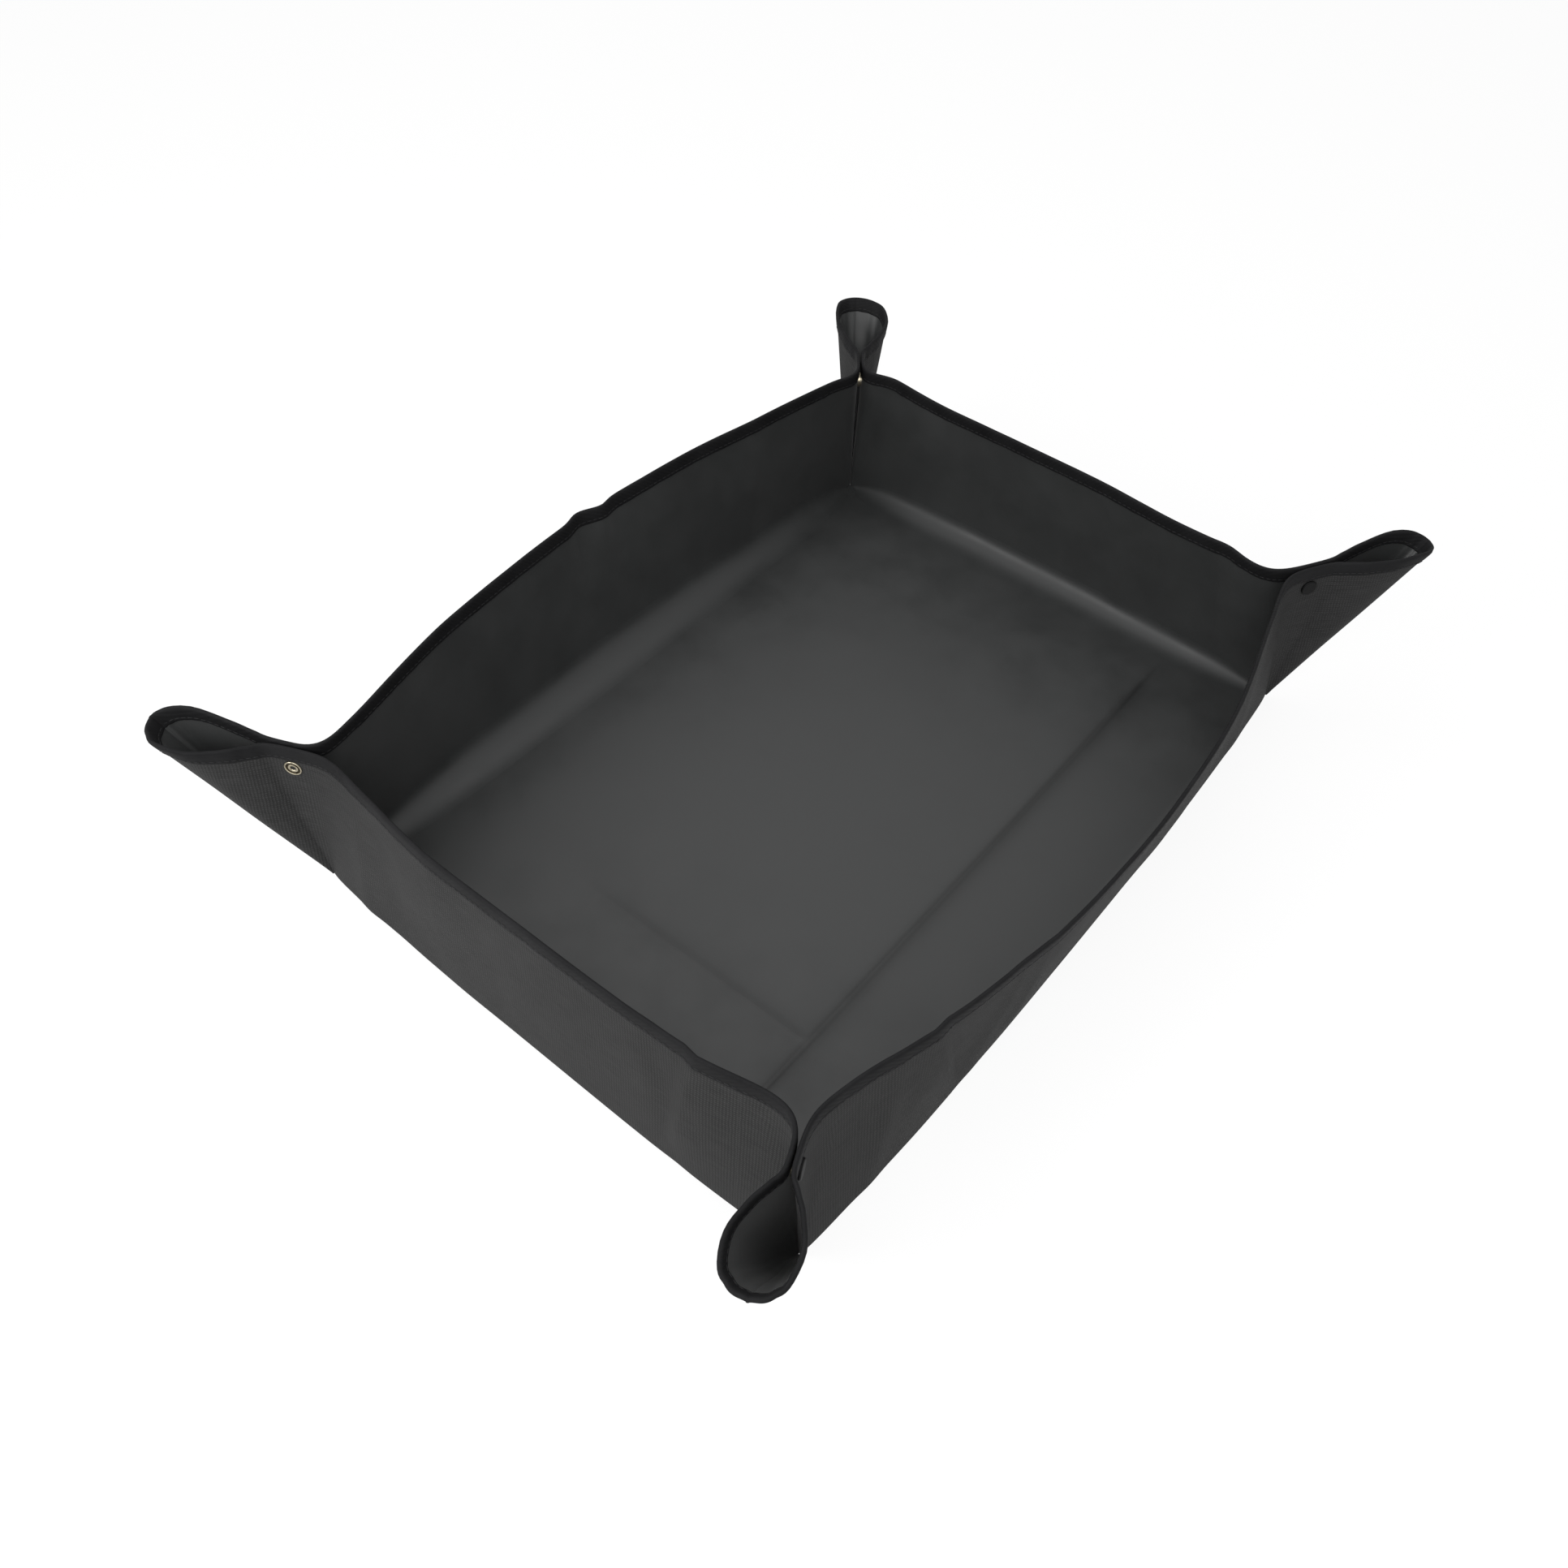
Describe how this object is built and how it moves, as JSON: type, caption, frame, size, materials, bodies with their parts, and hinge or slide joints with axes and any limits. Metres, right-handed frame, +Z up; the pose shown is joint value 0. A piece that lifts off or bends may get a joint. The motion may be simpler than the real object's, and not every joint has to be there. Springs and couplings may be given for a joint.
{
  "type": "potting soil tray",
  "caption": "Fold-up potting tray of black coated cloth with a bound edge; pinched corners are held by press studs and flare out as flaps.",
  "frame": {"origin": "centre of the floor's underside, on the ground", "axes": "+X along the long sides, +Y along the short sides towards the back, +Z up"},
  "size_m": [0.6593, 0.4945, 0.1298],
  "materials": {
    "coated_cloth": "matt coating inside, fine weave outside",
    "edge_tape": "woven tape, matt",
    "cap_metal": "black paint, satin",
    "stud_metal": "antique, satin"
  },
  "bodies": {
    "floor": {"floor_panel": "coated_cloth"},
    "front_side": {"front_wall": "coated_cloth", "front_wall_binding": "edge_tape"},
    "back_side": {"back_wall": "coated_cloth", "back_wall_binding": "edge_tape"},
    "right_side": {"right_wall": "coated_cloth", "right_wall_binding": "edge_tape"},
    "left_side": {"left_wall": "coated_cloth", "left_wall_binding": "edge_tape"},
    "front_left_flap_front": {"front_left_flap_front": "coated_cloth", "front_left_flap_front_binding": "edge_tape", "front_left_stud_cap": "cap_metal", "front_left_stud_socket": "stud_metal", "front_left_stud_spring": "stud_metal"},
    "front_left_flap_left": {"front_left_flap_left": "coated_cloth", "front_left_flap_left_binding": "edge_tape", "front_left_stud_eyelet": "stud_metal", "front_left_stud": "stud_metal"},
    "front_right_flap_front": {"front_right_flap_front": "coated_cloth", "front_right_flap_front_binding": "edge_tape", "front_right_stud_cap": "cap_metal", "front_right_stud_socket": "stud_metal", "front_right_stud_spring": "stud_metal"},
    "front_right_flap_right": {"front_right_flap_right": "coated_cloth", "front_right_flap_right_binding": "edge_tape", "front_right_stud_eyelet": "stud_metal", "front_right_stud": "stud_metal"},
    "back_right_flap_back": {"back_right_flap_back": "coated_cloth", "back_right_flap_back_binding": "edge_tape", "back_right_stud_cap": "cap_metal", "back_right_stud_socket": "stud_metal", "back_right_stud_spring": "stud_metal"},
    "back_right_flap_right": {"back_right_flap_right": "coated_cloth", "back_right_flap_right_binding": "edge_tape", "back_right_stud_eyelet": "stud_metal", "back_right_stud": "stud_metal"},
    "back_left_flap_back": {"back_left_flap_back": "coated_cloth", "back_left_flap_back_binding": "edge_tape", "back_left_stud_cap": "cap_metal", "back_left_stud_socket": "stud_metal", "back_left_stud_spring": "stud_metal"},
    "back_left_flap_left": {"back_left_flap_left": "coated_cloth", "back_left_flap_left_binding": "edge_tape", "back_left_stud_eyelet": "stud_metal", "back_left_stud": "stud_metal"}
  },
  "joints": [
    {"name": "front_fold", "type": "hinge", "parent": "floor", "child": "front_side", "pos_m": [0, -0.185, 0.0004], "axis": [1, 0, 0], "range_deg": [0, 42]},
    {"name": "back_fold", "type": "hinge", "parent": "floor", "child": "back_side", "pos_m": [0, 0.185, 0.0004], "axis": [-1, 0, 0], "range_deg": [0, 42]},
    {"name": "right_fold", "type": "hinge", "parent": "floor", "child": "right_side", "pos_m": [0.26, 0, 0.0004], "axis": [0, 1, 0], "range_deg": [0, 42]},
    {"name": "left_fold", "type": "hinge", "parent": "floor", "child": "left_side", "pos_m": [-0.26, 0, 0.0004], "axis": [0, -1, 0], "range_deg": [0, 42]},
    {"name": "front_left_front_fold", "type": "hinge", "parent": "front_side", "child": "front_left_flap_front", "pos_m": [-0.25923, -0.18673, 0.00048], "axis": [-0.0608, -0.0738, -0.9954], "range_deg": [0, 29.6]},
    {"name": "front_left_left_fold", "type": "hinge", "parent": "left_side", "child": "front_left_flap_left", "pos_m": [-0.26077, -0.18327, 0.00032], "axis": [0.0608, 0.0738, 0.9954], "range_deg": [0, 70.1]},
    {"name": "front_right_front_fold", "type": "hinge", "parent": "front_side", "child": "front_right_flap_front", "pos_m": [0.25888, -0.18654, 0.00045], "axis": [-0.0608, 0.0738, 0.9954], "range_deg": [0, 28.7]},
    {"name": "front_right_right_fold", "type": "hinge", "parent": "right_side", "child": "front_right_flap_right", "pos_m": [0.26112, -0.18346, 0.00035], "axis": [0.0608, -0.0738, -0.9954], "range_deg": [0, 46.5]},
    {"name": "back_right_back_fold", "type": "hinge", "parent": "back_side", "child": "back_right_flap_back", "pos_m": [0.25876, 0.18644, 0.00043], "axis": [0.0608, 0.0738, -0.9954], "range_deg": [0, 39.6]},
    {"name": "back_right_right_fold", "type": "hinge", "parent": "right_side", "child": "back_right_flap_right", "pos_m": [0.26124, 0.18356, 0.00037], "axis": [-0.0608, -0.0738, 0.9954], "range_deg": [0, 48.3]},
    {"name": "back_left_back_fold", "type": "hinge", "parent": "back_side", "child": "back_left_flap_back", "pos_m": [-0.25835, 0.18593, 0.00037], "axis": [0.0608, -0.0738, 0.9954], "range_deg": [0, 55.1]},
    {"name": "back_left_left_fold", "type": "hinge", "parent": "left_side", "child": "back_left_flap_left", "pos_m": [-0.26165, 0.18407, 0.00043], "axis": [-0.0608, 0.0738, -0.9954], "range_deg": [0, 25.2]}
  ],
  "couplings": [
    {"joint": "back_fold", "follows": "front_fold", "ratio": 1},
    {"joint": "right_fold", "follows": "front_fold", "ratio": 1},
    {"joint": "left_fold", "follows": "front_fold", "ratio": 1},
    {"joint": "front_left_front_fold", "follows": "front_fold", "ratio": 0.70476},
    {"joint": "front_left_left_fold", "follows": "front_fold", "ratio": 1.669},
    {"joint": "front_right_front_fold", "follows": "front_fold", "ratio": 0.68333},
    {"joint": "front_right_right_fold", "follows": "front_fold", "ratio": 1.1071},
    {"joint": "back_right_back_fold", "follows": "front_fold", "ratio": 0.94286},
    {"joint": "back_right_right_fold", "follows": "front_fold", "ratio": 1.15},
    {"joint": "back_left_back_fold", "follows": "front_fold", "ratio": 1.3119},
    {"joint": "back_left_left_fold", "follows": "front_fold", "ratio": 0.6}
  ]
}
